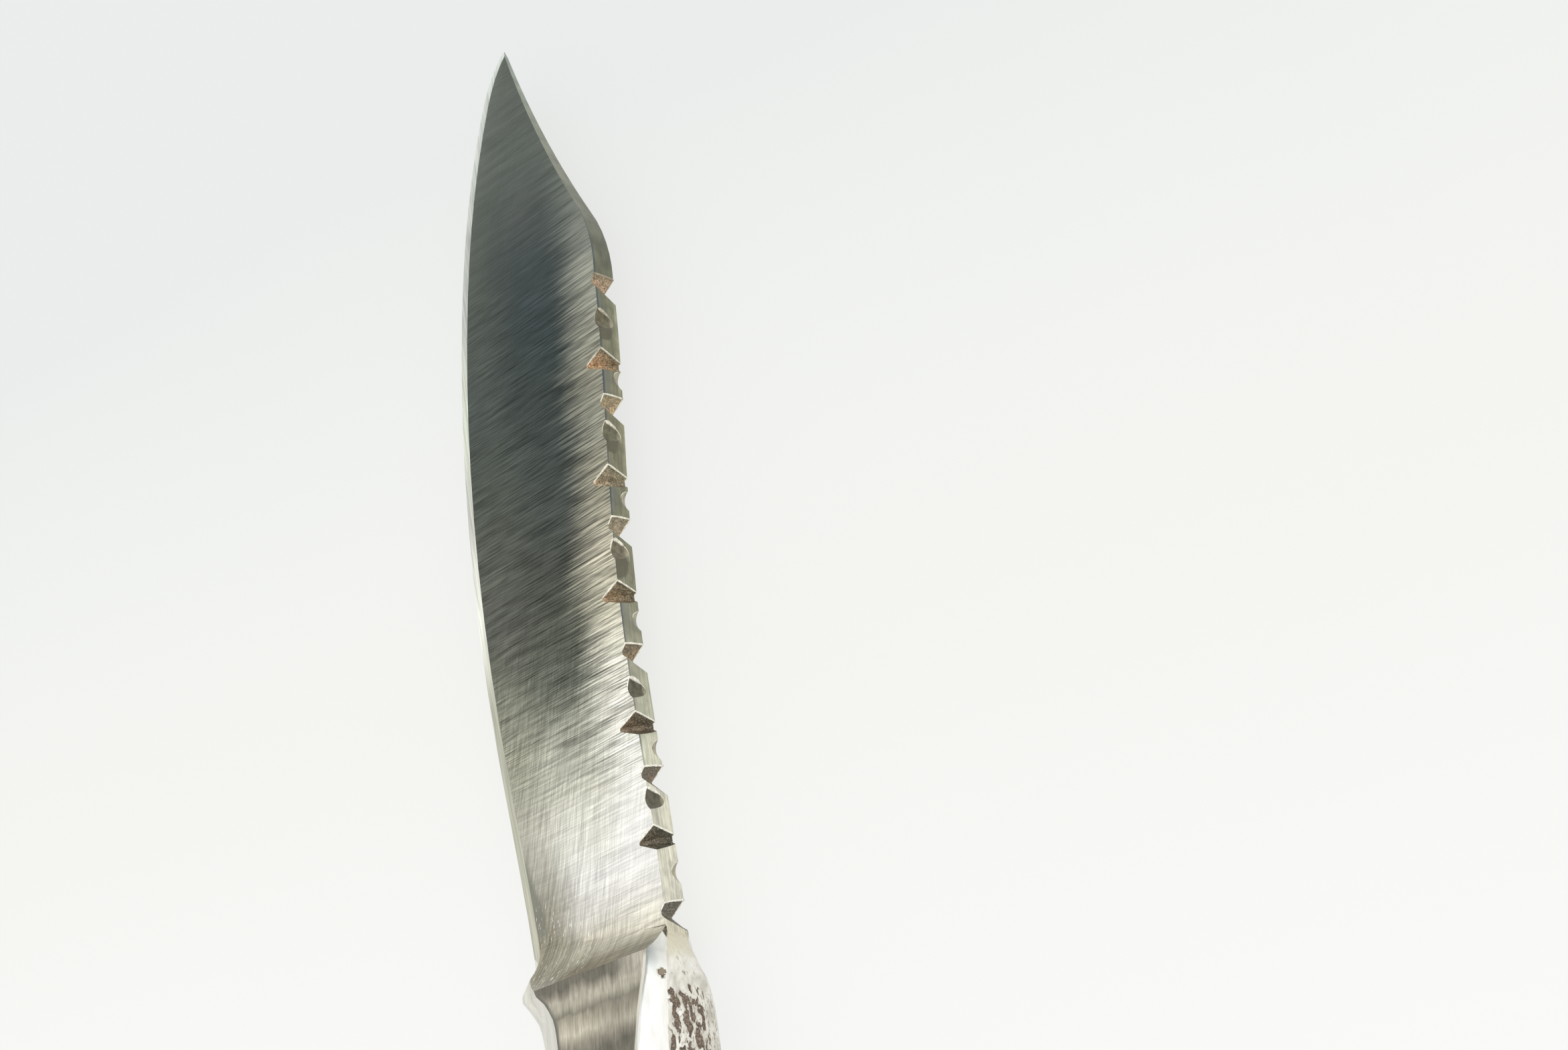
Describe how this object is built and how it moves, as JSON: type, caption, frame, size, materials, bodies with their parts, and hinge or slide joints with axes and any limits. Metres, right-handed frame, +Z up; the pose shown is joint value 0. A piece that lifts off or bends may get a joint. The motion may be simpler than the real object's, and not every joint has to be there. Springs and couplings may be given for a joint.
{
  "type": "saw-backed modeling knife",
  "caption": "Straight hand tool with a clip-pointed blade, a filed saw back, a forged bolster and bolted handle scales.",
  "frame": {"origin": "on the right scale's side flat, the face that the tool lies on, 46 mm behind the guard line", "axes": "+X from the butt to the tip, +Y towards the cutting edge, +Z up, towards the tool's left side"},
  "size_m": [0.246, 0.0294, 0.0134],
  "materials": {
    "forged_steel": "satin, scratched",
    "liner_fibre": "matte",
    "scale_wood": "oiled",
    "bolt_steel": "satin",
    "tube_steel": "satin"
  },
  "bodies": {
    "root": {"blade_forging": "forged_steel", "liner_left": "liner_fibre", "liner_right": "liner_fibre", "scale_left": "scale_wood", "scale_right": "scale_wood", "scale_bolt_sleeves": "bolt_steel", "scale_bolt_screws": "bolt_steel", "lanyard_tube": "tube_steel"}
  },
  "joints": []
}
